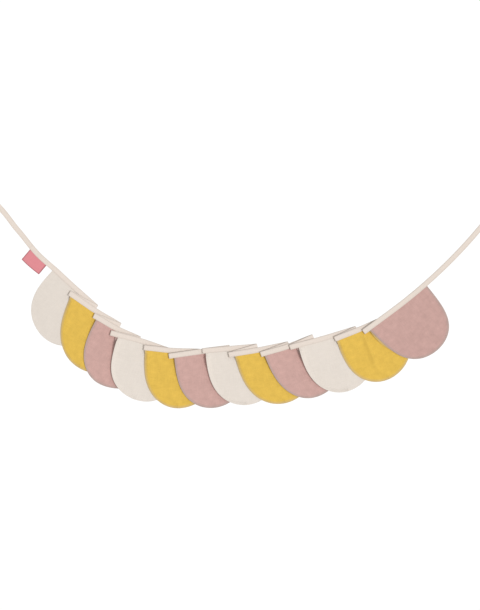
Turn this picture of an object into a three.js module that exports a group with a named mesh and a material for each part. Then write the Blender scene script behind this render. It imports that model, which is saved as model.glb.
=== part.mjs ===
// Linen garland: twelve half-round flags sewn into one binding tape, hung by the two ends of the tape.
// The tape is laid in a zigzag, so that each flag overlaps the one before it.
// Millimetres, +Z up, the front faces -Y. The origin is the top edge of the tape's left end.
import * as THREE from 'three';

// Binding tape: folded lengthwise over the tops of the flags
const TAPE_WIDTH = 10.6;
const TAPE_LEG = 1.0;
const TAPE_TOP = 1.3;

// Room between the legs of the tape: half its width where it is empty, how far it stays open past
// what it holds, and the run over which it then closes
const CLEARANCE = 0.36;
const SLOT_SHUT = 0.2;
const SLOT_SPARE = 1.2;
const SLOT_RUN = 3;

// Sections along the tape: widest and closest spacing
const STATION_PITCH = 18;
const STATION_LEAST = 0.3;

// Flags: upright sides that round off to the tip
const CLOTH = 1.0;
const FLAG_WIDTH = 145;
const FLAG_DEPTH = 110.2;
const FLAG_TUCK = 8.6;
const FLAG_CURVE = 3;

// Label: a tab of thinner cloth folded in two, sewn in under the left tie
const LABEL_CLOTH = 0.8;
const LABEL_GAP = 0.4;
const LABEL_LENGTH = 45;
const LABEL_DEPTH = 26;
const LABEL_TO_FLAG = 17.4;
const LABEL_STEPS = 3;

// Ties: the tape runs on past the outer flags and bends upward
const LEFT_TIE = 247;
const LEFT_BEND = 1370;
const RIGHT_TIE = 277;
const RIGHT_BEND = 1020;

// Bows of the left tie: from and to along the tape, and how far it bows down
const TIE_BOWS = [
  { from: 0, to: 85, sag: -1.8 },
  { from: 85, to: 207, sag: 3 },
];

// Zigzag: each layer of tape lies this far in front of the last
const LAYER = 4.2;
const FOLD_RADIUS = LAYER / 2;
const FOLD_ARC = Math.PI * FOLD_RADIUS;
const FOLD_REACH = FOLD_ARC / 2 - FOLD_RADIUS;
const FOLD_STEPS = 4;
const FOLD_EASE = 8;
const FOLD_OPENING = 0.0012;

// The stack of layers leans back to the right, between these two places along X
const LEAN_FROM = 150;
const LEAN_TO = 850;
const LEAN_EASE = 120;

// Hems lie closer together than the tape does, and the cloth is a little uneven
const HEM_CLOSING = 0.4;
const SWELL = 1.8;
const SWELL_LENGTH = 240;
const SWELL_SLANT = 0.4;
const RIPPLE = 0.5;
const RIPPLE_LENGTH = 95;
const RIPPLE_SLANT = 0.5;
const RIPPLE_EASE = 32;

// Where the tape folds back, along its middle line, as X and Z
// lead: left fold to the flag's corner; lean: degrees the flag hangs off square; sag: bow of the tape
// The first row's left and the last row's right are where the ties begin to bend
const FLAGS = [
  { left: [169.0, -180.3], right: [212.0, -219.2], lead: -56.2, lean: 1.7, sag: 0, colour: 'cream' },
  { left: [159.0, -190.8], right: [259.4, -255.6], lead: 4.8, lean: 10.0, sag: 1.8, colour: 'yellow' },
  { left: [208.0, -235.8], right: [299.0, -282.8], lead: 7.5, lean: -1.1, sag: 2.4, colour: 'pink' },
  { left: [242.0, -270.4], right: [365.6, -308.3], lead: 16.2, lean: -1.9, sag: -2.2, colour: 'cream' },
  { left: [308.6, -300.0], right: [419.0, -307.8], lead: 2.6, lean: -0.6, sag: 1.8, colour: 'yellow' },
  { left: [358.4, -316.8], right: [478.8, -299.7], lead: 9.8, lean: -2.6, sag: 0, colour: 'pink' },
  { left: [425.4, -306.4], right: [534.0, -297.4], lead: 6.2, lean: 0.8, sag: 0, colour: 'cream' },
  { left: [478.0, -314.2], right: [596.6, -292.8], lead: 9.0, lean: 5.8, sag: 1.0, colour: 'yellow' },
  { left: [542.0, -313.4], right: [646.0, -278.4], lead: 6.0, lean: 3.4, sag: 2.2, colour: 'pink' },
  { left: [600.0, -299.2], right: [732.6, -262.0], lead: 16.2, lean: 0.4, sag: 1.0, colour: 'cream' },
  { left: [690.0, -282.8], right: [788.6, -242.0], lead: 2.6, lean: -2.6, sag: 0.8, colour: 'yellow' },
  { left: [747.2, -268.4], right: [800.5, -229.5], lead: 9.5, lean: 5.2, sag: 0, colour: 'pink' },
];

const COLOURS = {
  cream: 0xe6ddd3,
  yellow: 0xe5be57,
  pink: 0xcea89f,
  tape: 0xe8ded2,
  label: 0xeb9196,
};

const smooth = (t) => THREE.MathUtils.smoothstep(t, 0, 1);
const lerp = THREE.MathUtils.lerp;

// Panels of tape between the folds, and the folds between the panels
const corners = FLAGS.flatMap((flag) => [flag.left, flag.right]).map(([x, z]) => new THREE.Vector2(x, z));
const runOf = (points, k) => points[k + 1].clone().sub(points[k]).normalize();
const foldNormal = (points, k) => runOf(points, k - 1).sub(runOf(points, k)).normalize();
const lastCorner = corners.length - 1;
const foldPoints = corners.map((point, k) => {
  const folded = k > 0 && k < lastCorner;
  return folded ? foldNormal(corners, k).multiplyScalar(FOLD_REACH).add(point) : point.clone();
});
const foldPlaces = [LEFT_TIE];
for (let k = 0; k < lastCorner; k += 1) {
  foldPlaces.push(foldPlaces[k] + foldPoints[k].distanceTo(foldPoints[k + 1]));
}
const TAPE_LENGTH = foldPlaces[lastCorner] + RIGHT_TIE;
const folds = foldPoints.map((point, k) => {
  if (k === 0 || k === lastCorner) return null;
  const run = runOf(foldPoints, k - 1);
  const side = k % 2 === 1 ? 1 : -1;
  const down = new THREE.Vector2(run.y, -run.x).multiplyScalar(side);
  const normal = foldNormal(foldPoints, k);
  const line = new THREE.Vector2(normal.y, -normal.x);
  // How far the fold line drifts along the tape, for each millimetre across it
  const drift = -down.dot(normal) / run.dot(normal);
  return { point, place: foldPlaces[k], layer: k - 1, side, run, down, normal, line, drift };
});
const cornerOf = (i) => foldPlaces[2 * i] + (i > 0 ? FOLD_REACH : 0) + FLAGS[i].lead;

// Stretches of the tape that bow down: the left tie's, and those between two folds
const bows = [
  ...TIE_BOWS,
  ...FLAGS.map(({ sag }, i) => ({ from: foldPlaces[2 * i], to: foldPlaces[2 * i + 1], sag })),
];

function bow(u) {
  const here = bows.find(({ from, to }) => u > from && u < to);
  return here ? here.sag * Math.sin((Math.PI * (u - here.from)) / (here.to - here.from)) ** 2 : 0;
}

// Length leaned over so far, eased in and out
function leanRun(x, from) {
  const t = THREE.MathUtils.clamp((x - from) / LEAN_EASE + 0.5, 0, 1);
  const eased = LEAN_EASE * (t ** 3 - t ** 4 / 2);
  return eased + Math.max(0, x - from - LEAN_EASE / 2);
}

const LEAN_SLOPE = ((corners.length - 2) * LAYER) / (LEAN_TO - LEAN_FROM);
const leanBack = (x) => -LEAN_SLOPE * (leanRun(x, LEAN_FROM) - leanRun(x, LEAN_TO));

// Takes a place on the flat garland to its place as hung:
// u along the tape, v down from the tape's lower edge, n out of the cloth's face, by way of one fold
function hang(u, v, n, foldIndex, opening = 0) {
  const fold = folds[foldIndex];
  let along = u - fold.place;
  let w = v + TAPE_WIDTH / 2 + bow(u);
  const leftStart = foldPlaces[0];
  const rightStart = foldPlaces[lastCorner];
  if (u < leftStart) {
    const turn = (leftStart - u) / LEFT_BEND;
    along = leftStart - fold.place - (LEFT_BEND + w) * Math.sin(turn);
    w = (LEFT_BEND + w) * Math.cos(turn) - LEFT_BEND;
  } else if (u > rightStart) {
    const turn = (u - rightStart) / RIGHT_BEND;
    along = rightStart - fold.place + (RIGHT_BEND + w) * Math.sin(turn);
    w = (RIGHT_BEND + w) * Math.cos(turn) - RIGHT_BEND;
  }
  const flat = fold.run.clone().multiplyScalar(along).addScaledVector(fold.down, w);
  const shift = opening * Math.max(0, w) ** 2;
  const past = flat.dot(fold.normal) - shift;
  const down = flat.dot(fold.line);
  const face = fold.side * n;
  let reach = past;
  let depth = fold.layer * LAYER;
  let lift = face;
  if (past > FOLD_ARC / 2) {
    reach = -past;
    depth += LAYER;
    lift = -face;
  } else if (past > -FOLD_ARC / 2) {
    const turn = (past + FOLD_ARC / 2) / FOLD_RADIUS;
    reach = -FOLD_ARC / 2 + (FOLD_RADIUS - face) * Math.sin(turn);
    depth += FOLD_RADIUS * (1 - Math.cos(turn));
    lift = face * Math.cos(turn);
  }
  const place = fold.point.clone().addScaledVector(fold.line, down);
  place.addScaledVector(fold.normal, reach + shift);
  const low = smooth(Math.max(0, v) / FLAG_DEPTH);
  const swell = SWELL * Math.sin((2 * Math.PI * (place.x + SWELL_SLANT * place.y)) / SWELL_LENGTH);
  const front = (depth + leanBack(place.x)) * (1 - HEM_CLOSING * low) + lift + swell * low;
  return new THREE.Vector3(place.x, -front, place.y);
}

// The fold nearest to a place along the tape
function nearestFold(u) {
  let best = 1;
  for (let k = 2; k < lastCorner; k += 1) {
    if (Math.abs(foldPlaces[k] - u) < Math.abs(foldPlaces[best] - u)) best = k;
  }
  return best;
}

// A closed geometry with its faces pointing out
function closed(points, faces) {
  let volume = 0;
  for (const [a, b, c] of faces) volume += points[a].dot(points[b].clone().cross(points[c]));
  const outward = volume > 0 ? faces : faces.map(([a, b, c]) => [a, c, b]);
  const geometry = new THREE.BufferGeometry().setFromPoints(points);
  geometry.setIndex(outward.flat());
  geometry.computeVertexNormals();
  return geometry;
}

// A solid through like sections, each a closed ring of points, with flat ends
function sweep(rings, section) {
  const count = section.length;
  const points = rings.flat();
  const faces = [];
  for (let r = 0; r + 1 < rings.length; r += 1) {
    for (let c = 0; c < count; c += 1) {
      const next = (c + 1) % count;
      const a = r * count + c;
      const b = r * count + next;
      faces.push([a, b, b + count], [a, b + count, a + count]);
    }
  }
  const last = (rings.length - 1) * count;
  const clockwise = THREE.ShapeUtils.isClockWise(section);
  for (const [a, p, q] of THREE.ShapeUtils.triangulateShape(section, [])) {
    const [b, c] = clockwise ? [q, p] : [p, q];
    faces.push([a, c, b], [last + a, last + b, last + c]);
  }
  return closed(points, faces);
}

// A sheet from the points of its two faces, in rows that end in one tip
function sheet(front, back, frontTip, backTip) {
  const rows = front.length;
  const columns = front[0].length;
  const size = rows * columns + 1;
  const points = [...front.flat(), frontTip, ...back.flat(), backTip];
  const faces = [];
  const quad = (a, b, c, d) => faces.push([a, b, c], [a, c, d]);
  const at = (r, c) => r * columns + c;
  const tip = rows * columns;
  for (let r = 0; r + 1 < rows; r += 1) {
    for (let c = 0; c + 1 < columns; c += 1) {
      quad(at(r, c), at(r + 1, c), at(r + 1, c + 1), at(r, c + 1));
      quad(size + at(r, c), size + at(r, c + 1), size + at(r + 1, c + 1), size + at(r + 1, c));
    }
  }
  const rim = [];
  for (let c = 0; c + 1 < columns; c += 1) {
    faces.push([at(rows - 1, c), tip, at(rows - 1, c + 1)]);
    faces.push([size + at(rows - 1, c), size + at(rows - 1, c + 1), size + tip]);
    rim.push(at(0, c));
  }
  for (let r = 0; r < rows; r += 1) rim.push(at(r, columns - 1));
  rim.push(tip);
  for (let r = rows - 1; r > 0; r -= 1) rim.push(at(r, 0));
  rim.forEach((a, k) => {
    const b = rim[(k + 1) % rim.length];
    quad(a, b, size + b, size + a);
  });
  return closed(points, faces);
}

function named(name, geometry, colour) {
  const material = new THREE.MeshStandardMaterial({ color: colour, roughness: 0.95, metalness: 0 });
  const mesh = new THREE.Mesh(geometry, material);
  mesh.name = name;
  return mesh;
}

function flagHalfWidth(v) {
  const share = Math.max(0, v) / FLAG_DEPTH;
  return (FLAG_WIDTH / 2) * Math.sqrt(1 - share ** FLAG_CURVE);
}

// Rows of a flag, from its tucked top to the last row above its tip, as shares of its depth
const ROW_SHARES = [0, 0.16, 0.32, 0.46, 0.58, 0.69, 0.79, 0.875, 0.94, 0.98];
const FLAG_ROWS = [-FLAG_TUCK, ...ROW_SHARES.map((share) => share * FLAG_DEPTH)];
const FACE_STEPS = 6;
const FLAP_STEPS = 2;
const PLAIN_STEPS = 9;

// Shares of a row's width that the turn and the flap keep where the fold leaves the flag
const TURN_SHARE = 0.09;
const FLAP_SHARE = 0.04;

// Columns across one row of a flag: the face, the turn of the fold, and the flap behind it
function columnsAcross(left, right, foldAt) {
  const width = right - left;
  if (foldAt === null) {
    return Array.from({ length: PLAIN_STEPS + 1 }, (_, c) => left + (width * c) / PLAIN_STEPS);
  }
  const turnFrom = Math.min(foldAt - FOLD_ARC / 2, right - TURN_SHARE * width);
  const turnTo = Math.min(foldAt + FOLD_ARC / 2, right - FLAP_SHARE * width);
  const columns = [];
  for (let c = 0; c < FACE_STEPS; c += 1) columns.push(lerp(left, turnFrom, c / FACE_STEPS));
  for (let c = 0; c < FOLD_STEPS; c += 1) columns.push(lerp(turnFrom, turnTo, c / FOLD_STEPS));
  for (let c = 0; c <= FLAP_STEPS; c += 1) columns.push(lerp(turnTo, right, c / FLAP_STEPS));
  return columns;
}

function flag(i) {
  const { lean, colour } = FLAGS[i];
  const lastFlag = i === FLAGS.length - 1;
  const foldIndex = lastFlag ? 2 * i : 2 * i + 1;
  const fold = folds[foldIndex];
  const opening = lastFlag ? 0 : FOLD_OPENING;
  const slant = Math.tan(THREE.MathUtils.degToRad(lean));
  const middle = cornerOf(i) + FLAG_WIDTH / 2;
  // Where the fold line crosses a row of this flag
  const foldAt = (v) => {
    if (lastFlag) return null;
    const w = v + TAPE_WIDTH / 2;
    const open = (opening * Math.max(0, w) ** 2) / fold.run.dot(fold.normal);
    return fold.place + fold.drift * w + open;
  };
  const place = (u, v, n) => {
    const ripple = RIPPLE * Math.sin((2 * Math.PI * (u - RIPPLE_SLANT * v)) / RIPPLE_LENGTH + i);
    return hang(u, v, n + ripple * smooth(Math.max(0, v) / RIPPLE_EASE), foldIndex, opening);
  };
  const row = (v, n) => {
    const centre = middle + slant * Math.max(0, v);
    const half = flagHalfWidth(v);
    return columnsAcross(centre - half, centre + half, foldAt(v)).map((u) => place(u, v, n));
  };
  const tip = (n) => place(middle + slant * FLAG_DEPTH, FLAG_DEPTH, n);
  const front = FLAG_ROWS.map((v) => row(v, CLOTH / 2));
  const back = FLAG_ROWS.map((v) => row(v, -CLOTH / 2));
  const name = `flag_${String(i + 1).padStart(2, '0')}`;
  return named(name, sheet(front, back, tip(CLOTH / 2), tip(-CLOTH / 2)), COLOURS[colour]);
}

// Stretches of the tape that hold something: from, to and half the room between the legs
const labelFrom = cornerOf(0) - LABEL_TO_FLAG - LABEL_LENGTH;
const labelHalf = LABEL_CLOTH + LABEL_GAP / 2;
const held = [
  { from: labelFrom, to: labelFrom + LABEL_LENGTH, half: labelHalf + CLEARANCE },
  ...FLAGS.map((_, i) => ({ from: cornerOf(i), to: cornerOf(i) + FLAG_WIDTH, half: CLOTH / 2 + CLEARANCE })),
];

// Half the room between the tape's legs at one place
function slotHalf(u) {
  let half = SLOT_SHUT;
  for (const { from, to, half: room } of held) {
    const outside = Math.max(from - u, u - to, 0);
    const closing = THREE.MathUtils.clamp((outside - SLOT_SPARE) / SLOT_RUN, 0, 1);
    half = Math.max(half, lerp(room, SLOT_SHUT, closing));
  }
  return half;
}

function tape() {
  const places = [0, TAPE_LENGTH];
  for (const { from, to } of held) {
    const open = [from - SLOT_SPARE, to + SLOT_SPARE];
    places.push(open[0] - SLOT_RUN, ...open, open[1] + SLOT_RUN);
  }
  for (let k = 1; k < lastCorner; k += 1) {
    for (let step = 0; step <= FOLD_STEPS; step += 1) {
      places.push(foldPlaces[k] + FOLD_ARC * (step / FOLD_STEPS - 0.5));
    }
  }
  places.sort((a, b) => a - b);
  const stations = [];
  places.forEach((to, k) => {
    if (k > 0) {
      const from = places[k - 1];
      const steps = Math.ceil((to - from) / STATION_PITCH);
      for (let step = 1; step < steps; step += 1) stations.push(lerp(from, to, step / steps));
    }
    if (k === 0 || to - places[k - 1] > STATION_LEAST) stations.push(to);
  });
  const section = (half) => {
    const out = half + TAPE_LEG;
    const under = -TAPE_WIDTH + TAPE_TOP;
    return [
      [-out, 0], [-out, -TAPE_WIDTH], [out, -TAPE_WIDTH], [out, 0],
      [half, 0], [half, under], [-half, under], [-half, 0],
    ];
  };
  // Sections near a fold lie along the fold line, and those away from it square to the tape
  const rings = stations.map((u) => {
    const foldIndex = nearestFold(u);
    const fold = folds[foldIndex];
    const near = 1 - smooth((Math.abs(u - fold.place) - FOLD_ARC) / FOLD_EASE);
    return section(slotHalf(u)).map(([n, v]) => {
      const drift = near * fold.drift * (v + TAPE_WIDTH / 2);
      return hang(u + drift, v, n, foldIndex);
    });
  });
  const shape = section(SLOT_SHUT).map(([n, v]) => new THREE.Vector2(n, v));
  return named('tape', sweep(rings, shape), COLOURS.tape);
}

// The label's section, folded at the bottom, and its length along the tape
function label() {
  const section = [[-labelHalf, -FLAG_TUCK], [-labelHalf, LABEL_DEPTH - labelHalf]];
  for (const turn of [45, 90, 135].map(THREE.MathUtils.degToRad)) {
    section.push([-labelHalf * Math.cos(turn), LABEL_DEPTH - labelHalf * (1 - Math.sin(turn))]);
  }
  section.push([labelHalf, LABEL_DEPTH - labelHalf], [labelHalf, -FLAG_TUCK]);
  section.push([LABEL_GAP / 2, -FLAG_TUCK], [LABEL_GAP / 2, LABEL_DEPTH - labelHalf]);
  section.push([-LABEL_GAP / 2, LABEL_DEPTH - labelHalf], [-LABEL_GAP / 2, -FLAG_TUCK]);
  const rings = [];
  for (let step = 0; step <= LABEL_STEPS; step += 1) {
    const u = labelFrom + (LABEL_LENGTH * step) / LABEL_STEPS;
    rings.push(section.map(([n, v]) => hang(u, v, n, 1)));
  }
  const shape = section.map(([n, v]) => new THREE.Vector2(n, v));
  return named('label', sweep(rings, shape), COLOURS.label);
}

const garland = new THREE.Group();
garland.name = 'linen_garland';
garland.add(tape(), label());
FLAGS.forEach((_, i) => garland.add(flag(i)));
garland.position.copy(hang(0, -TAPE_WIDTH, 0, 1)).negate();

export default garland;
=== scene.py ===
# Linen garland: twelve half-round linen flags in a folded binding tape, with a small tab.
# Metres, +Z up, the front faces -Y.
# A place on the flat garland is u along the tape, v down from the tape's lower edge and n out of the face.
import math
from types import SimpleNamespace

import bpy
import numpy as np
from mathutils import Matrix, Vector, noise


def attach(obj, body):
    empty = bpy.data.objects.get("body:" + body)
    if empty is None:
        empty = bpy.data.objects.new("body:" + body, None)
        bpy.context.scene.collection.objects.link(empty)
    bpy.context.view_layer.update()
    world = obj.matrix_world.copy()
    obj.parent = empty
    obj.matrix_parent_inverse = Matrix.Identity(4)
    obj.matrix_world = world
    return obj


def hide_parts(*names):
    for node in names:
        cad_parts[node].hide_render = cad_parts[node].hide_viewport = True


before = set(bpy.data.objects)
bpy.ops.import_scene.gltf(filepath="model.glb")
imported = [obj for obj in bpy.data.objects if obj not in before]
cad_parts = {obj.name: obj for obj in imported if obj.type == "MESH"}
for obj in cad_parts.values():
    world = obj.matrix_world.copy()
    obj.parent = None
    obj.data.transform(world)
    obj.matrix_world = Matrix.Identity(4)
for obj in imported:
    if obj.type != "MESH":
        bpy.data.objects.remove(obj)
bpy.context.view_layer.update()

# Binding tape: its width when folded, and the thickness of its legs and of its top
TAPE_WIDTH = 0.0106
TAPE_LEG = 0.00055
TAPE_TOP = 0.0008
TAPE_STEP = 0.002

# Slot between the tape's legs: half its room where it is empty, and how it widens round what it holds
SLOT_SHUT = 0.0002
SLOT_EASE = 0.00008
SLOT_SPARE = 0.0012
SLOT_RUN = 0.004

# Flags: upright sides that round off to the tip, and a top that is tucked into the tape
CLOTH = 0.0008
FLAG_WIDTH = 0.145
FLAG_DEPTH = 0.1102
FLAG_TUCK = 0.0086
FLAG_CURVE = 3

# Turned seam of a flag: its rounded edge, and the seam allowance that lies inside it
EDGE_ROUND = 0.0007
SEAM_WIDTH = 0.0062
SEAM_EASE = 0.0016
SEAM_RISE = 0.0001

# Label: a tab folded in two
LABEL_HALF = 0.0008
LABEL_GAP = 0.0003
LABEL_LENGTH = 0.045
LABEL_DEPTH = 0.0260
LABEL_TO_FLAG = 0.0164

# Label where it hangs free: it slants, tapers, and curls back at its left end and forward at its right
LABEL_SLANT = 0.115
LABEL_TAPER = 0.11
LABEL_CURL = 0.0012
CURL_TURNS_AT = 0.35

# Ties: the tape runs on past the outer flags and bends upward
LEFT_TIE = 0.247
LEFT_BEND = 1.370
RIGHT_TIE = 0.277
RIGHT_BEND = 1.020

# Bows of the left tie: from and to along the tape, and how far it bows down
TIE_BOWS = [(0.0, 0.085, -0.0018), (0.085, 0.207, 0.0030)]

# Zigzag: each layer of tape lies in front of the last, folded loosely on the right and tightly on the left
LOOSE_FOLD = 0.0034
TIGHT_FOLD = 0.0024
FOLD_STEPS = 12
FOLD_EASE = 0.008
FOLD_OPENING = 1.2

# The stack of layers leans back to the right, between these two places along X
LEAN_FROM = 0.150
LEAN_TO = 0.850
LEAN_EASE = 0.120

# Flags lie closer together than the tape does
HEM_CLOSING = 0.55
CLOSING_DEPTH = 0.045

# The cloth is a little uneven: a long swell, cockles that neighbours share, and each flag's own puckers
SWELL = 0.0008
SWELL_LENGTH = 0.240
SWELL_SLANT = 0.4
UNEVEN_FROM = 0.032
COCKLE = 0.0009
COCKLE_SIZE = 0.030
COCKLE_SEED = 0.0
PUCKER = 0.00012
PUCKER_SIZE = 0.009
PUCKER_SEED = 1.0
PUCKER_SEED_STEP = 7.3

# Left edges: how far each cloth's stands forward, as a share of the room to the flag behind it
EDGE_STAND = {"cream": 1.5, "yellow": -0.78, "pink": -0.08}
STAND_WIDTH = 0.008
STAND_FROM = 0.010

# Flags from left to right
# left, right: where the tape folds back, or a tie begins, along its middle line, as X and Z
# lead: left fold to the flag's corner; lean: degrees the flag hangs off square; sag: bow of the tape
# darker_by: how much darker its cloth is than the others of its colour
# slim, drop: the share by which its sides are drawn in, and how far its tip is drawn down, as it stretches
FLAGS = [
    dict(left=(0.1690, -0.1803), right=(0.2120, -0.2192), lead=-0.0562, lean=1.7, sag=0.0,
         cloth="cream", darker_by=0.06),
    dict(left=(0.1590, -0.1908), right=(0.2594, -0.2556), lead=0.0048, lean=10.0, sag=0.0018,
         cloth="yellow", darker_by=0.03),
    dict(left=(0.2080, -0.2358), right=(0.2990, -0.2828), lead=0.0075, lean=-1.1, sag=0.0024, cloth="pink"),
    dict(left=(0.2420, -0.2704), right=(0.3656, -0.3083), lead=0.0162, lean=-1.9, sag=-0.0022,
         cloth="cream"),
    dict(left=(0.3086, -0.3000), right=(0.4190, -0.3078), lead=0.0016, lean=0.0, sag=0.0018, cloth="yellow"),
    dict(left=(0.3584, -0.3168), right=(0.4788, -0.2997), lead=0.0098, lean=-2.6, sag=0.0, cloth="pink"),
    dict(left=(0.4254, -0.3064), right=(0.5340, -0.2974), lead=0.0056, lean=0.8, sag=0.0, cloth="cream"),
    dict(left=(0.4780, -0.3142), right=(0.5966, -0.2928), lead=0.0110, lean=5.0, sag=0.0010, cloth="yellow"),
    dict(left=(0.5420, -0.3134), right=(0.6460, -0.2784), lead=0.0060, lean=3.4, sag=0.0022, cloth="pink"),
    dict(left=(0.6000, -0.2992), right=(0.7326, -0.2620), lead=0.0162, lean=0.4, sag=0.0010, cloth="cream"),
    dict(left=(0.6900, -0.2828), right=(0.7886, -0.2420), lead=0.0016, lean=-2.6, sag=0.0008,
         cloth="yellow"),
    dict(left=(0.7472, -0.2684), right=(0.8005, -0.2295), lead=0.0120, lean=3.2, sag=0.0,
         cloth="pink", darker_by=0.12, slim=0.045, drop=0.0020),
]
LAST = len(FLAGS) - 1

# Creases, by the flag's place in the list: from and to as X and Z where it hangs, how deep, how wide
CREASES = {
    10: [dict(start=(0.7400, -0.2700), end=(0.7700, -0.3460), height=0.0036, width=0.0056)],
}
CREASE_FROM = 0.010
CREASE_FADE = 0.5

# Picture: its size in pixels, the width of cloth that one pixel shows, and the place at its middle
PICTURE = (480, 610)
PIXEL = 0.0020
MIDDLE = Vector((0.49453, -0.005, -0.21860))


def smooth(t):
    t = np.clip(t, 0.0, 1.0)
    return t * t * (3.0 - 2.0 * t)


def unit(vector):
    return vector / np.linalg.norm(vector)


# Panels of tape between the folds, and the folds between the panels
corners = np.array([place for flag in FLAGS for place in (flag["left"], flag["right"])])
LAST_CORNER = len(corners) - 1


def run_of(points, k):
    return unit(points[k + 1] - points[k])


def fold_normal(points, k):
    return unit(run_of(points, k - 1) - run_of(points, k))


def fold_radius(k):
    return (LOOSE_FOLD if k % 2 == 1 else TIGHT_FOLD) / 2


def fold_reach(k):
    """How much longer half the bend is than it sticks out."""
    return (math.pi / 2 - 1.0) * fold_radius(k)


fold_points = corners.copy()
for k in range(1, LAST_CORNER):
    fold_points[k] += fold_reach(k) * fold_normal(corners, k)
panel_lengths = np.linalg.norm(np.diff(fold_points, axis=0), axis=1)
fold_places = LEFT_TIE + np.concatenate([[0.0], np.cumsum(panel_lengths)])
TAPE_LENGTH = fold_places[-1] + RIGHT_TIE


def make_fold(k):
    side = 1.0 if k % 2 == 1 else -1.0
    run = run_of(fold_points, k - 1)
    down = np.array([run[1], -run[0]]) * side
    normal = fold_normal(fold_points, k)
    radius = fold_radius(k)
    return SimpleNamespace(
        point=fold_points[k],
        place=fold_places[k],
        side=side,
        run=run,
        down=down,
        normal=normal,
        line=np.array([normal[1], -normal[0]]),
        drift=-down.dot(normal) / run.dot(normal),
        radius=radius,
        arc=math.pi * radius,
        behind=2 * sum(fold_radius(j) for j in range(1, k)),
    )


folds = {k: make_fold(k) for k in range(1, LAST_CORNER)}


def nearest_fold(u):
    return 1 + np.abs(u[..., None] - fold_places[1:-1]).argmin(axis=-1)


def flag_from(i):
    return fold_places[2 * i] + (fold_reach(2 * i) if i > 0 else 0.0) + FLAGS[i]["lead"]


bows = TIE_BOWS + [
    (fold_places[2 * i], fold_places[2 * i + 1], FLAGS[i]["sag"]) for i in range(len(FLAGS))
]


def bow(u):
    """How far the tape bows down, on its left tie and between two folds."""
    total = np.zeros_like(u)
    for start, end, sag in bows:
        share = np.clip((u - start) / (end - start), 0.0, 1.0)
        total += sag * np.sin(math.pi * share) ** 2
    return total


def lean_run(x, start):
    """How far x lies past a start, eased in."""
    t = np.clip((x - start) / LEAN_EASE + 0.5, 0.0, 1.0)
    return LEAN_EASE * (t**3 - t**4 / 2) + np.maximum(0.0, x - start - LEAN_EASE / 2)


LEAN_SLOPE = LAST * (LOOSE_FOLD + TIGHT_FOLD) / (LEAN_TO - LEAN_FROM)


def lean_back(x):
    return -LEAN_SLOPE * (lean_run(x, LEAN_FROM) - lean_run(x, LEAN_TO))


def closing_at(v):
    """Share by which the layers lie closer together, below the tape."""
    return HEM_CLOSING * smooth(np.maximum(0.0, v) / CLOSING_DEPTH)


def hang_by(k, u, v, n, opening=0.0):
    """Takes places on the flat garland to their places as hung, by way of fold k."""
    u, v, n = np.broadcast_arrays(*(np.asarray(a, float) for a in (u, v, n)))
    fold = folds[k]
    left_start, right_start = fold_places[0], fold_places[-1]
    across = v + TAPE_WIDTH / 2 + bow(u)
    # Ties bend upward
    left_turn = np.maximum(left_start - u, 0.0) / LEFT_BEND
    right_turn = np.maximum(u - right_start, 0.0) / RIGHT_BEND
    on_left, on_right = u < left_start, u > right_start
    along = u - fold.place
    along = np.where(on_left, left_start - fold.place - (LEFT_BEND + across) * np.sin(left_turn), along)
    along = np.where(on_right, right_start - fold.place + (RIGHT_BEND + across) * np.sin(right_turn), along)
    across = np.where(on_left, (LEFT_BEND + across) * np.cos(left_turn) - LEFT_BEND, across)
    across = np.where(on_right, (RIGHT_BEND + across) * np.cos(right_turn) - RIGHT_BEND, across)
    # What lies past the fold line turns back, in front of what comes before it
    flat = along[..., None] * fold.run + across[..., None] * fold.down
    shift = opening * np.maximum(0.0, across) ** 2
    past = flat @ fold.normal - shift
    face = fold.side * n
    turn = np.clip((past + fold.arc / 2) / fold.radius, 0.0, math.pi)
    over = past > fold.arc / 2
    bent = (past > -fold.arc / 2) & ~over
    reach = np.where(over, -past, past)
    reach = np.where(bent, -fold.arc / 2 + (fold.radius - face) * np.sin(turn), reach)
    depth = fold.behind + fold.radius * (1.0 - np.cos(turn))
    lift = face * np.cos(turn)
    level = flat @ fold.line
    place = fold.point + level[..., None] * fold.line + (reach + shift)[..., None] * fold.normal
    x, z = place[..., 0], place[..., 1]
    low = smooth(np.maximum(0.0, v) / FLAG_DEPTH)
    closing = closing_at(v)
    swell = SWELL * np.sin(2 * math.pi * (x + SWELL_SLANT * z) / SWELL_LENGTH)
    front = (depth + lean_back(x)) * (1.0 - closing) + lift + swell * low
    return np.stack([x, -front, z], axis=-1)


ORIGIN = hang_by(1, 0.0, -TAPE_WIDTH, 0.0)


def hang(u, v, n):
    """Takes places on the tape to their places as hung, each by way of its nearest fold."""
    u, v, n = np.broadcast_arrays(*(np.asarray(a, float) for a in (u, v, n)))
    nearest = nearest_fold(u)
    points = np.zeros(u.shape + (3,))
    for k in folds:
        here = nearest == k
        if here.any():
            points[here] = hang_by(k, u[here], v[here], n[here])
    return points - ORIGIN


# Meshes
def add_piece(name, points, faces, flat, material, edge=None, darker_by=0.0):
    """A mesh object from points and faces, with the flat cloth's metres as its UV map."""
    mesh = bpy.data.meshes.new(name)
    mesh.from_pydata(np.asarray(points).tolist(), [], faces)
    mesh.validate()
    mesh.polygons.foreach_set("use_smooth", [True] * len(mesh.polygons))
    corner = np.zeros(len(mesh.loops), dtype=np.int32)
    mesh.loops.foreach_get("vertex_index", corner)
    uv = mesh.uv_layers.new(name="flat")
    uv.data.foreach_set("uv", np.asarray(flat, np.float32)[corner].ravel())
    for title, values in (("edge", edge), ("darker_by", np.full(len(points), darker_by))):
        if values is not None:
            layer = mesh.attributes.new(title, "FLOAT", "POINT")
            layer.data.foreach_set("value", np.asarray(values, np.float32))
    mesh.materials.append(material)
    piece = bpy.data.objects.new(name, mesh)
    bpy.context.scene.collection.objects.link(piece)
    return piece


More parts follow.
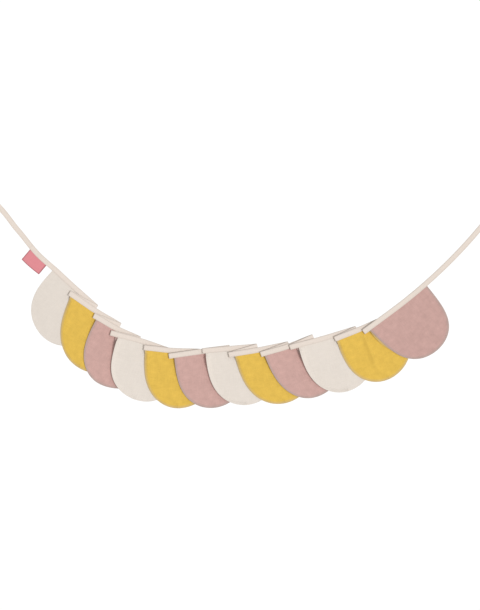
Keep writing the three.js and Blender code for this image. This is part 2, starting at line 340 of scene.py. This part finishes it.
def tube_faces(ids):
    """Quads between the rings of a tube, from its point numbers ring by ring."""
    after = np.roll(ids, -1, axis=1)
    return np.stack([ids[:-1], after[:-1], after[1:], ids[1:]], -1).reshape(-1, 4)


# Flags: the grid of points on each
RIM = np.array([0.0, 0.00012, 0.0004, 0.0009, 0.0018, 0.0032])
RIM_WIDTH = 0.030
FACE_COLUMNS = 58
FLAP_COLUMNS = 22
PLAIN_COLUMNS = 92
TURN_SHARE = 0.09
FLAP_SHARE = 0.04
EVEN_DEPTH = 0.040
EVEN_ROWS = 26
ROUND_ROWS = 60
OUTLINE_STEPS = 400


def half_width(v):
    share = np.clip(v / FLAG_DEPTH, 0.0, 1.0)
    return FLAG_WIDTH / 2 * np.sqrt(1.0 - share**FLAG_CURVE)


def flag_rows():
    """v of each row of a flag, from its tucked top to its tip, closer together where it rounds off."""
    top = -FLAG_TUCK + RIM[:-1]
    straight = np.linspace(-FLAG_TUCK + RIM[-1], EVEN_DEPTH, EVEN_ROWS, endpoint=False)
    turns = np.linspace(0.0, 1.0, ROUND_ROWS)[:-1]
    rounded = FLAG_DEPTH - (FLAG_DEPTH - EVEN_DEPTH) * (1.0 - turns) ** 2
    return np.concatenate([top, straight, rounded])


def flag_columns(left, right, fold, fold_at):
    """u of each column of one row: the face, the turn of the fold, and the part folded over."""
    width = right - left
    rim = RIM * min(1.0, width / RIM_WIDTH)
    start, end = left + rim[-1], right - rim[-1]
    if fold is None:
        middle = np.linspace(start, end, PLAIN_COLUMNS)
    else:
        turn_from = min(fold_at - fold.arc / 2, right - TURN_SHARE * width)
        turn_to = min(fold_at + fold.arc / 2, right - FLAP_SHARE * width)
        middle = np.concatenate([
            np.linspace(start, turn_from, FACE_COLUMNS, endpoint=False),
            np.linspace(turn_from, turn_to, FOLD_STEPS, endpoint=False),
            np.linspace(turn_to, max(end, turn_to), FLAP_COLUMNS),
        ])
        middle = np.minimum(middle, end)
    return np.concatenate([left + rim[:-1], middle, right - rim[-2::-1]])


def flag_grid(fold, opening, middle, slant, folded):
    """u and v of a flag's points on the flat garland, row by row."""
    row_v = flag_rows()
    rows = []
    for v in row_v:
        across = v + TAPE_WIDTH / 2
        opened = opening * max(0.0, across) ** 2 / fold.run.dot(fold.normal)
        fold_at = fold.place + fold.drift * across + opened
        centre = middle + slant * max(0.0, v)
        half = half_width(v)
        rows.append(flag_columns(centre - half, centre + half, fold if folded else None, fold_at))
    u = np.array(rows)
    return u, np.repeat(row_v[:, None], u.shape[1], axis=1)


def edge_distance(across, v):
    """How far a place on a flag lies inside its outline."""
    down = FLAG_DEPTH * np.sin(np.linspace(0.0, math.pi / 2, OUTLINE_STEPS))
    side = np.full(across.shape, np.inf)
    for edge_v, edge_half in zip(down, half_width(down)):
        side = np.minimum(side, (edge_half - np.abs(across)) ** 2 + (edge_v - v) ** 2)
    above = v < 0.0
    side = np.where(above, FLAG_WIDTH / 2 - np.abs(across), np.sqrt(side))
    distance = np.maximum(0.0, np.minimum(side, v + FLAG_TUCK))
    distance[[0, -1], :] = 0.0
    distance[:, [0, -1]] = 0.0
    return distance


def half_thickness(distance, v):
    rounded = 1.0 - np.clip(distance / EDGE_ROUND, 0.0, 1.0)
    seam = (1.0 - smooth((distance - SEAM_WIDTH) / SEAM_EASE)) * smooth(v / SEAM_WIDTH)
    return (CLOTH / 2 + SEAM_RISE * seam) * np.sqrt(1.0 - rounded**2)


def noise_at(x, y, size, seed):
    flat_x, flat_y = np.ravel(x) / size, np.ravel(y) / size
    values = [noise.noise(Vector((a, b, seed))) for a, b in zip(flat_x, flat_y)]
    return np.reshape(values, np.shape(x))


def unevenness(middle, flat, i):
    """How far a flag stands forward of its plain form: shared cockles and its own puckers."""
    cockle = COCKLE * noise_at(middle[..., 0], middle[..., 2], COCKLE_SIZE, COCKLE_SEED)
    seed = PUCKER_SEED_STEP * i + PUCKER_SEED
    pucker = PUCKER * noise_at(flat[..., 0], flat[..., 1], PUCKER_SIZE, seed)
    return cockle + pucker


def crease_height(points, creases):
    """How far the creases of a flag stand forward, by where it hangs."""
    total = np.zeros(points.shape[:-1])
    spot = points[..., [0, 2]]
    for crease in creases:
        start, end = np.array(crease["start"]), np.array(crease["end"])
        length = np.linalg.norm(end - start)
        run = (end - start) / length
        along = (spot - start) @ run / length
        off = (spot - start) @ np.array([-run[1], run[0]])
        fade = np.sin(math.pi * np.clip(along, 0.0, 1.0)) ** CREASE_FADE
        total += crease["height"] * fade * np.exp(-((off / crease["width"]) ** 2))
    return total


def edge_stand(cloth, v, off_middle, distance):
    """How far a flag's left edge stands forward."""
    room = (LOOSE_FOLD + TIGHT_FOLD) * (1.0 - closing_at(v)) - CLOTH
    near_left = np.where(off_middle < 0.0, 1.0 - smooth(distance / STAND_WIDTH), 0.0)
    return EDGE_STAND[cloth] * room * near_left * smooth(np.maximum(0.0, v) / STAND_FROM)


def flag(i, name):
    """One flag: its flat grid, hung by way of its fold, with its two faces set apart."""
    folded = i != LAST
    k = 2 * i + 1 if folded else 2 * i
    opening = FOLD_OPENING if folded else 0.0
    slant = math.tan(math.radians(FLAGS[i]["lean"]))
    middle = flag_from(i) + FLAG_WIDTH / 2
    u, v = flag_grid(folds[k], opening, middle, slant, folded)
    below = np.maximum(0.0, v)
    off_middle = u - middle - slant * below
    flat = np.stack([off_middle, v], -1)
    distance = edge_distance(off_middle, v)
    share = np.clip(v / FLAG_DEPTH, 0.0, 1.0)
    hung_u = u - FLAGS[i].get("slim", 0.0) * off_middle * np.sin(math.pi * share)
    hung_v = v + FLAGS[i].get("drop", 0.0) * share**2
    middle_points = hang_by(k, hung_u, hung_v, 0.0, opening) - ORIGIN
    forward = unevenness(middle_points, flat, i) * smooth(below / UNEVEN_FROM)
    forward += crease_height(middle_points, CREASES.get(i, [])) * smooth(below / CREASE_FROM)
    if i > 0:
        forward += edge_stand(FLAGS[i]["cloth"], v, off_middle, distance)
    thick = half_thickness(distance, v)
    sides = []
    for sign in (1.0, -1.0):
        points = hang_by(k, hung_u, hung_v, sign * thick, opening) - ORIGIN
        points[..., 1] -= forward
        sides.append(points)
    return closed_grid(name, sides, flat, distance, i)


def closed_grid(name, sides, flat, distance, i):
    """A flag's two faces, joined along their shared rim."""
    rows, columns = flat.shape[:2]
    front = np.arange(rows * columns).reshape(rows, columns)
    rim = np.zeros((rows, columns), bool)
    rim[[0, -1], :] = True
    rim[:, [0, -1]] = True
    back = front.copy()
    back[~rim] = rows * columns + np.arange((~rim).sum())
    points = np.concatenate([sides[0].reshape(-1, 3), sides[1][~rim]])
    faces = []
    for ids, flip in ((front, False), (back, True)):
        quads = np.stack([ids[:-1, :-1], ids[1:, :-1], ids[1:, 1:], ids[:-1, 1:]], -1).reshape(-1, 4)
        faces += (quads[:, ::-1] if flip else quads).tolist()
    spread = np.concatenate([flat.reshape(-1, 2), flat[~rim]])
    edge = np.concatenate([distance.ravel(), distance[~rim]])
    material = CLOTHS[FLAGS[i]["cloth"]]
    return add_piece(name, points, faces, spread, material, edge, FLAGS[i].get("darker_by", 0.0))


# Tape: what it holds, and half the room that each needs
label_from = flag_from(0) - LABEL_TO_FLAG - LABEL_LENGTH
HELD = [SimpleNamespace(start=label_from, end=label_from + LABEL_LENGTH, room=LABEL_HALF + SLOT_EASE)]
for i in range(len(FLAGS)):
    held_from = flag_from(i)
    HELD.append(SimpleNamespace(start=held_from, end=held_from + FLAG_WIDTH, room=CLOTH / 2 + SLOT_EASE))


def slot_half(u):
    """Half the room between the tape's legs."""
    half = np.full(np.shape(u), SLOT_SHUT)
    for held in HELD:
        outside = np.maximum(np.maximum(held.start - u, u - held.end), 0.0)
        closing = smooth((outside - SLOT_SPARE) / SLOT_RUN)
        half = np.maximum(half, held.room + (SLOT_SHUT - held.room) * closing)
    return half


# Tape: the ditch that its stitches draw in, and its full, rounded lower edge
STITCH_LINE = 0.0021
STITCH_DITCH = 0.00022
DITCH_WIDTH = 0.0008
EDGE_FULL = 0.00012
FULL_FADE = 0.002
LEG_ROUND = 0.0004
LEG_END = 0.45
LEG_LIP = 0.0002

# Tape: heights of its points above its lower edge, and degrees between them round its top and its slot
TAPE_HEIGHTS = np.array([
    0.0, 0.0001, 0.0004, 0.0009, 0.0014, 0.0018, STITCH_LINE,
    0.0024, 0.0028, 0.0034, 0.0046, 0.0062, 0.0078, 0.0092,
])
TOP_TURN = 15
SLOT_TURN = 30


def tape_outer(u, below):
    """Outer face of the tape's leg, from its middle, at a height above its lower edge."""
    ditch = STITCH_DITCH * np.exp(-(((below - STITCH_LINE) / DITCH_WIDTH) ** 2))
    full = EDGE_FULL * (1.0 - smooth((below - STITCH_LINE) / FULL_FADE))
    turned = np.sqrt(np.clip(1.0 - (1.0 - np.clip(below / LEG_ROUND, 0, 1)) ** 2, 0, 1))
    leg = (TAPE_LEG + full - ditch) * (LEG_END + (1.0 - LEG_END) * turned)
    return slot_half(u) + leg


def tape_ring(u):
    """One ring of points around the folded tape at u, as n and v."""
    below = TAPE_HEIGHTS
    face = tape_outer(np.full(below.shape, u), below)
    half = float(slot_half(np.array([u]))[0])
    shoulder = TAPE_WIDTH - below[-1]
    turns = np.radians(np.arange(TOP_TURN, 180, TOP_TURN))
    top_n = face[-1] * np.cos(turns)
    top_v = -below[-1] - shoulder * np.sin(turns)
    under = np.radians(np.arange(0, 181, SLOT_TURN))
    inner_v = -(TAPE_WIDTH - TAPE_TOP - half)
    n = np.concatenate([face, top_n, -face[::-1], [-half], -half * np.cos(under), [half]])
    v = np.concatenate([
        -below, top_v, -below[::-1], [-LEG_LIP], inner_v - half * np.sin(under), [-LEG_LIP],
    ])
    return n, v


def tape_stations():
    """u of each ring: even steps, and finer ones round each fold."""
    places = [np.arange(0.0, TAPE_LENGTH, TAPE_STEP), [TAPE_LENGTH]]
    keep = np.ones(len(places[0]), bool)
    for k in folds:
        keep &= np.abs(places[0] - folds[k].place) > folds[k].arc / 2 + TAPE_STEP / 3
        places.append(folds[k].place + folds[k].arc * (np.arange(FOLD_STEPS + 1) / FOLD_STEPS - 0.5))
    places[0] = places[0][keep]
    return np.unique(np.concatenate(places))


def tape_drift(u, v):
    """Sections near a fold lie along the fold line."""
    nearest = nearest_fold(u)
    place = fold_places[nearest]
    drift = np.array([0.0] + [folds[k].drift for k in folds])[nearest]
    arc = np.array([0.0] + [folds[k].arc for k in folds])[nearest]
    near = 1.0 - smooth((np.abs(u - place) - arc) / FOLD_EASE)
    return u + near * drift * (v + TAPE_WIDTH / 2)


def tape():
    """The tape's section, carried along its zigzag and closed at both ends."""
    stations = tape_stations()
    rings = [tape_ring(u) for u in stations]
    n = np.array([ring[0] for ring in rings])
    v = np.array([ring[1] for ring in rings])
    u = np.repeat(stations[:, None], n.shape[1], axis=1)
    points = hang(tape_drift(u, v), v, n).reshape(-1, 3)
    ids = np.arange(n.size).reshape(n.shape)
    caps = [ids[0, ::-1].tolist(), ids[-1].tolist()]
    around = np.where(n > 0, v, -2 * TAPE_WIDTH - v)
    flat = np.stack([u, around], -1).reshape(-1, 2)
    inside = np.minimum(np.abs(v), np.maximum(0.0, TAPE_WIDTH - np.abs(v)))
    faces = tube_faces(ids).tolist() + caps
    return add_piece("tape_cloth", points, faces, flat, CLOTHS["tape"], inside.ravel())


# Stitches along the tape: short threads that arch out of the ditch and thin off at their ends
STITCH_PITCH = 0.0030
STITCH_LENGTH = 0.0024
STITCH_FROM = 0.004
STITCH_TO_END = 0.006
THREAD = 0.00019
THREAD_ARCH = 1.5
THREAD_SINK = 0.75
THREAD_END = 0.55
THREAD_SIDES = 6
THREAD_RINGS = 5


def stitches():
    starts = np.arange(STITCH_FROM, TAPE_LENGTH - STITCH_TO_END, STITCH_PITCH)
    share = np.linspace(0.0, 1.0, THREAD_RINGS)[None, :, None]
    arch = np.sin(math.pi * share)
    turns = np.arange(THREAD_SIDES) * 2 * math.pi / THREAD_SIDES
    u = starts[:, None, None] + STITCH_LENGTH * share + 0 * turns
    below = np.full(u.shape, STITCH_LINE)
    height = tape_outer(u, below) + THREAD * (THREAD_ARCH * arch - THREAD_SINK)
    fat = THREAD * (THREAD_END + (1.0 - THREAD_END) * arch)
    v = -below + fat * np.cos(turns)
    size = THREAD_RINGS * THREAD_SIDES
    ring = np.arange(size).reshape(THREAD_RINGS, THREAD_SIDES)
    tube = tube_faces(ring)
    ends = np.stack([ring[0, ::-1], ring[-1]])
    points, flat, faces = [], [], []
    for side in (1.0, -1.0):
        first = len(points) * len(starts) * size
        n = side * (height + fat * np.sin(turns))
        points.append(hang(tape_drift(u, v), v, n).reshape(-1, 3))
        flat.append(np.stack([u, v], -1).reshape(-1, 2))
        order = slice(None) if side > 0 else slice(None, None, -1)
        for s in range(len(starts)):
            for part in (tube, ends):
                faces += (part[:, order] + first + s * size).tolist()
    return add_piece("tape_stitches", np.concatenate(points), faces, np.concatenate(flat), CLOTHS["thread"])


# Label: steps of its mesh, and how it thins off at its two ends
LABEL_STEPS = 30
LABEL_ROWS = 14
LABEL_TURN = 20
LABEL_END = 0.55
LABEL_ROUND = 0.0006


def label():
    """The tab's section, folded at the bottom, carried along the tape."""
    half, gap = LABEL_HALF, LABEL_GAP / 2
    bottom = LABEL_DEPTH - half
    down = np.linspace(-FLAG_TUCK, bottom, LABEL_ROWS)
    face = np.full(LABEL_ROWS, half)
    turns = np.radians(np.arange(LABEL_TURN, 180, LABEL_TURN))
    n = np.concatenate([-face, -half * np.cos(turns), face, [gap, gap, -gap, -gap]])
    v = np.concatenate([
        down, bottom + half * np.sin(turns), down[::-1], [-FLAG_TUCK, bottom, bottom, -FLAG_TUCK],
    ])
    below = np.maximum(0.0, v)
    share = 0.5 - 0.5 * np.cos(math.pi * np.linspace(0.0, 1.0, LABEL_STEPS + 1))[:, None]
    u = label_from + LABEL_LENGTH * share + LABEL_SLANT * below
    end = np.minimum(share, 1.0 - share) * LABEL_LENGTH
    slim = LABEL_END + (1.0 - LABEL_END) * np.sqrt(np.clip(end / LABEL_ROUND, 0.0, 1.0))
    free = smooth(below / LABEL_DEPTH)
    curl = LABEL_CURL * free * (2.0 * (share - CURL_TURNS_AT))
    hung_v = v - LABEL_TAPER * share * below
    points = hang_by(1, u, hung_v, n * slim + curl) - ORIGIN
    ids = np.arange(u.size).reshape(u.shape)
    quads = tube_faces(ids)[:, [0, 3, 2, 1]].tolist()
    caps = [ids[0].tolist(), ids[-1, ::-1].tolist()]
    around = np.concatenate([[0.0], np.cumsum(np.hypot(np.diff(n), np.diff(v)))])
    flat = np.stack([u, around + 0 * u], -1).reshape(-1, 2)
    rim = np.minimum(end, LABEL_DEPTH - v)
    return add_piece("label_tab", points.reshape(-1, 3), quads + caps, flat, CLOTHS["label"], rim.ravel())


# Materials
def linear(srgb):
    return tuple(c / 12.92 if c <= 0.04045 else ((c + 0.055) / 1.055) ** 2.4 for c in srgb)


def rgb(red, green, blue):
    return red / 255.0, green / 255.0, blue / 255.0


class Nodes:
    """Short calls for building a node tree."""

    def __init__(self, tree):
        self.tree = tree

    def add(self, kind, **settings):
        node = self.tree.nodes.new(kind)
        for name, value in settings.items():
            setattr(node, name, value)
        return node

    def link(self, source, target):
        self.tree.links.new(source, target)

    def feed(self, sockets, values):
        for socket, value in zip(sockets, values):
            if isinstance(value, (int, float)):
                socket.default_value = value
            else:
                self.link(value, socket)

    def math(self, operation, *values):
        node = self.add("ShaderNodeMath", operation=operation)
        self.feed(node.inputs, values)
        return node.outputs[0]

    def noise(self, vector, scale, detail=2.0, roughness=0.5):
        node = self.add("ShaderNodeTexNoise")
        node.inputs["Scale"].default_value = scale
        node.inputs["Detail"].default_value = detail
        node.inputs["Roughness"].default_value = roughness
        self.link(vector, node.inputs["Vector"])
        return node.outputs["Fac"]

    def vector(self, x, y, z=0.0):
        node = self.add("ShaderNodeCombineXYZ")
        self.feed(node.inputs, (x, y, z))
        return node.outputs[0]

    def mix(self, factor, first, second):
        node = self.add("ShaderNodeMix", data_type="RGBA")
        self.link(factor, node.inputs["Factor"])
        for socket, value in ((node.inputs["A"], first), (node.inputs["B"], second)):
            if isinstance(value, tuple):
                socket.default_value = (*value, 1.0)
            else:
                self.link(value, socket)
        return node.outputs["Result"]

    def attribute(self, name):
        return self.add("ShaderNodeAttribute", attribute_name=name).outputs["Fac"]


# Cloth: its gloss, the grey that coloured cloth is painted towards along its rim as painted shade, and the
# middle of the noise in it
CLOTH_ROUGHNESS = 0.92
CLOTH_SPECULAR = 0.2
SHEEN_ROUGHNESS = 0.5
RIM_SHADE_GREY = (0.718, 0.690, 0.659)
NOISE_MEAN = 0.5

# Weave: how far its yarns wander, how low they dip between crossings, its mean height, and its relief
WANDER = 1.6
WANDER_SCALES = (90.0, 110.0)
YARN_DIP = 0.55
WEAVE_MEAN = 0.55
WEAVE_RISE = 0.35

# Slubs: how many to a metre across the yarns and along them, and how high they stand out
SLUBS_ACROSS = 900.0
SLUBS_ALONG = 45.0
WEFT_SEED = 3.0
SLUB_RISE = 0.9

# Faded patches in the dye
FADE_SCALE = 80.0
FADE_DETAIL = 3.0
FADE_ROUGHNESS = 0.6


def weave_height(n, place, along, down, pitch):
    """Height of a plain weave, whose yarns wander a little."""
    wander_u, wander_v = (
        n.math("MULTIPLY", n.math("SUBTRACT", n.noise(place, scale), NOISE_MEAN), pitch * WANDER)
        for scale in WANDER_SCALES
    )
    x = n.math("DIVIDE", n.math("ADD", along, wander_u), pitch)
    y = n.math("DIVIDE", n.math("ADD", down, wander_v), pitch)
    warp = n.math("ABSOLUTE", n.math("SINE", n.math("MULTIPLY", x, math.pi)))
    weft = n.math("ABSOLUTE", n.math("SINE", n.math("MULTIPLY", y, math.pi)))
    over = n.math("MODULO", n.math("ADD", n.math("FLOOR", x), n.math("FLOOR", y)), 2.0)
    over = n.math("ABSOLUTE", over)
    warp_top = n.math("MULTIPLY", warp, n.math("MULTIPLY_ADD", weft, 1.0 - YARN_DIP, YARN_DIP))
    weft_top = n.math("MULTIPLY", weft, n.math("MULTIPLY_ADD", warp, 1.0 - YARN_DIP, YARN_DIP))
    under = n.math("SUBTRACT", 1.0, over)
    return n.math("ADD", n.math("MULTIPLY", over, warp_top), n.math("MULTIPLY", under, weft_top))


def slub_height(n, along, down):
    """Thick and thin stretches of single yarns, both ways, about zero."""
    warp_at = n.vector(
        n.math("MULTIPLY", along, SLUBS_ACROSS),
        n.math("MULTIPLY", down, SLUBS_ALONG),
    )
    weft_at = n.vector(
        n.math("MULTIPLY", along, SLUBS_ALONG),
        n.math("MULTIPLY", down, SLUBS_ACROSS),
        WEFT_SEED,
    )
    both = n.math("ADD", n.noise(warp_at, 1.0), n.noise(weft_at, 1.0))
    return n.math("SUBTRACT", both, 2 * NOISE_MEAN)


def woven(name, colour, pitch, streak, cloud, weave_dip_shade, bump, sheen=0.1, tone_range=0.20,
          painted_rim_shade=0.0, edge_width=0.0060, painted_rim_grey=0.0):
    """A plain-woven cloth at its real scale: colour is sRGB, pitch the width of one yarn.

    Streak and cloud say how strongly slubs and faded patches show in the colour; the next argument says how
    much darker the cloth is painted where its yarns dip, as painted shade between them.
    Within edge_width of its edge the cloth is painted darker and greyer, as painted shade along its rounded
    rim; the two rim arguments say by how much.
    """
    material = bpy.data.materials.new(name)
    material.use_nodes = True
    tree = material.node_tree
    tree.nodes.clear()
    n = Nodes(tree)
    shader = n.add("ShaderNodeBsdfPrincipled")
    output = n.add("ShaderNodeOutputMaterial")
    n.link(shader.outputs[0], output.inputs["Surface"])
    shader.inputs["Roughness"].default_value = CLOTH_ROUGHNESS
    shader.inputs["Specular IOR Level"].default_value = CLOTH_SPECULAR
    shader.inputs["Sheen Weight"].default_value = sheen
    shader.inputs["Sheen Roughness"].default_value = SHEEN_ROUGHNESS
    place = n.add("ShaderNodeUVMap", uv_map="flat").outputs[0]
    split = n.add("ShaderNodeSeparateXYZ")
    n.link(place, split.inputs[0])
    along, down = split.outputs[0], split.outputs[1]
    height = weave_height(n, place, along, down, pitch)
    slub = slub_height(n, along, down)
    faded = n.noise(place, FADE_SCALE, FADE_DETAIL, FADE_ROUGHNESS)
    # Tone: how light the cloth is, about zero
    tone = n.math("MULTIPLY", slub, streak)
    tone = n.math("MULTIPLY_ADD", n.math("SUBTRACT", faded, NOISE_MEAN), cloud, tone)
    # Painted shade: darker where the yarns dip between their crossings
    tone = n.math("MULTIPLY_ADD", n.math("SUBTRACT", height, WEAVE_MEAN), weave_dip_shade, tone)
    # Painted shade along the rim: darker within edge_width of the edge, where the turned edge rounds away
    # from the light
    if painted_rim_shade or painted_rim_grey:
        near = n.math("MINIMUM", n.math("DIVIDE", n.attribute("edge"), edge_width), 1.0)
        rim = n.math("SUBTRACT", 1.0, near)
        tone = n.math("MULTIPLY_ADD", rim, -painted_rim_shade, tone)
    # Some flags' cloth is darker all over, by the amount set for that flag
    tone = n.math("SUBTRACT", tone, n.attribute("darker_by"))
    factor = n.math("MINIMUM", n.math("MAXIMUM", n.math("ADD", tone, 0.5), 0.0), 1.0)
    base = linear(colour)
    dark = tuple(c * (1.0 - tone_range) for c in base)
    light = tuple(min(1.0, c * (1.0 + tone_range)) for c in base)
    shade = n.mix(factor, dark, light)
    # Painted shade along the rim: greyer towards the edge
    if painted_rim_grey:
        shade = n.mix(n.math("MULTIPLY", rim, painted_rim_grey), shade, linear(RIM_SHADE_GREY))
    n.link(shade, shader.inputs["Base Color"])
    relief = n.add("ShaderNodeBump")
    relief.inputs["Strength"].default_value = bump
    relief.inputs["Distance"].default_value = pitch * WEAVE_RISE
    n.link(n.math("MULTIPLY_ADD", slub, SLUB_RISE, height), relief.inputs["Height"])
    n.link(relief.outputs[0], shader.inputs["Normal"])
    return material


# The rim settings below paint shade along the edges of the flags, the tape and the label
CLOTHS = {
    "cream": woven("cream_linen", rgb(229.5, 220, 210), pitch=0.00062, streak=0.26, cloud=0.16, weave_dip_shade=0.16,
                   bump=0.5),
    "yellow": woven("yellow_linen", rgb(228, 188.5, 84.5), pitch=0.00062, streak=0.44, cloud=0.80, weave_dip_shade=0.20,
                    bump=0.5, painted_rim_shade=0.02, painted_rim_grey=0.45),
    "pink": woven("pink_linen", rgb(205.5, 167, 159), pitch=0.00062, streak=0.50, cloud=0.80, weave_dip_shade=0.26,
                  bump=0.5, painted_rim_shade=0.40, painted_rim_grey=0.45),
    "tape": woven("tape_cotton", rgb(230, 217.5, 206.5), pitch=0.00042, streak=0.18, cloud=0.08, weave_dip_shade=0.16,
                  bump=0.4, painted_rim_shade=0.25, edge_width=0.0030),
    "thread": woven("tape_thread", rgb(233, 221, 210), pitch=0.00020, streak=0.16, cloud=0.06, weave_dip_shade=0.16,
                    bump=0.3),
    "label": woven("label_satin", rgb(231, 141, 147), pitch=0.00030, streak=0.12, cloud=0.06, weave_dip_shade=0.06,
                   bump=0.35, sheen=0.2, tone_range=0.4, painted_rim_shade=0.9, edge_width=0.0026),
}


# Build
for i in range(len(FLAGS)):
    node = "flag_%02d" % (i + 1)
    piece = flag(i, node + "_linen")
    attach(piece, "root")
    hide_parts(node)

tape_piece = tape()
stitch_piece = stitches()
label_piece = label()
for piece, node, slot in ((tape_piece, "tape", "binding_tape"), (label_piece, "label", "coral_tab")):
    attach(piece, "root")
    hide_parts(node)
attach(stitch_piece, "root")


# Stage, light and camera
FLOOR_LEVEL = -1.25
FLOOR_SIZE = 3.0
FLOOR_COLOUR = (0.86, 0.86, 0.85, 1.0)
FLOOR_ROUGHNESS = 0.8
WHITE = (1.0, 1.0, 1.0, 1.0)
BACKDROP = 1.05
SKY = 0.58
SUN = 1.66
SUN_ANGLE = 18.0
SUN_FROM = Vector((0.50, -1.0, -0.15))
CAMERA_DISTANCE = 3.0
CAMERA_REACH = 50.0
SENSOR = 36.0


def floor():
    material = bpy.data.materials.new("pale_floor")
    material.use_nodes = True
    shader = material.node_tree.nodes["Principled BSDF"]
    shader.inputs["Base Color"].default_value = FLOOR_COLOUR
    shader.inputs["Roughness"].default_value = FLOOR_ROUGHNESS
    half = FLOOR_SIZE / 2
    mesh = bpy.data.meshes.new("floor")
    corners_xy = ((-half, -half), (half, -half), (half, half), (-half, half))
    mesh.from_pydata([(MIDDLE.x + x, y, FLOOR_LEVEL) for x, y in corners_xy], [], [(0, 1, 2, 3)])
    mesh.materials.append(material)
    plane = bpy.data.objects.new("floor", mesh)
    bpy.context.scene.collection.objects.link(plane)


def background(n, strength):
    node = n.add("ShaderNodeBackground")
    node.inputs["Strength"].default_value = strength
    node.inputs["Color"].default_value = WHITE
    return node


def lights():
    """A white backdrop that the camera sees, a weaker white fill all round, and one soft sun."""
    world = bpy.data.worlds.new("studio")
    bpy.context.scene.world = world
    world.use_nodes = True
    n = Nodes(world.node_tree)
    world.node_tree.nodes.clear()
    seen = background(n, BACKDROP)
    fill = background(n, SKY)
    path = n.add("ShaderNodeLightPath")
    both = n.add("ShaderNodeMixShader")
    n.link(path.outputs["Is Camera Ray"], both.inputs[0])
    n.link(fill.outputs[0], both.inputs[1])
    n.link(seen.outputs[0], both.inputs[2])
    n.link(both.outputs[0], n.add("ShaderNodeOutputWorld").inputs["Surface"])
    sun = bpy.data.lights.new("key", "SUN")
    sun.energy = SUN
    sun.angle = math.radians(SUN_ANGLE)
    key = bpy.data.objects.new("key", sun)
    key.rotation_euler = SUN_FROM.to_track_quat("Z", "Y").to_euler()
    bpy.context.scene.collection.objects.link(key)


def camera():
    data = bpy.data.cameras.new("camera")
    data.sensor_width = SENSOR
    data.lens = SENSOR * CAMERA_DISTANCE / (PICTURE[1] * PIXEL)
    data.clip_end = CAMERA_REACH
    eye = bpy.data.objects.new("camera", data)
    eye.location = MIDDLE + Vector((0.0, -CAMERA_DISTANCE, 0.0))
    eye.rotation_euler = (math.pi / 2, 0.0, 0.0)
    bpy.context.scene.collection.objects.link(eye)
    bpy.context.scene.camera = eye


floor()
lights()
camera()
bpy.context.scene.view_settings.view_transform = "Standard"
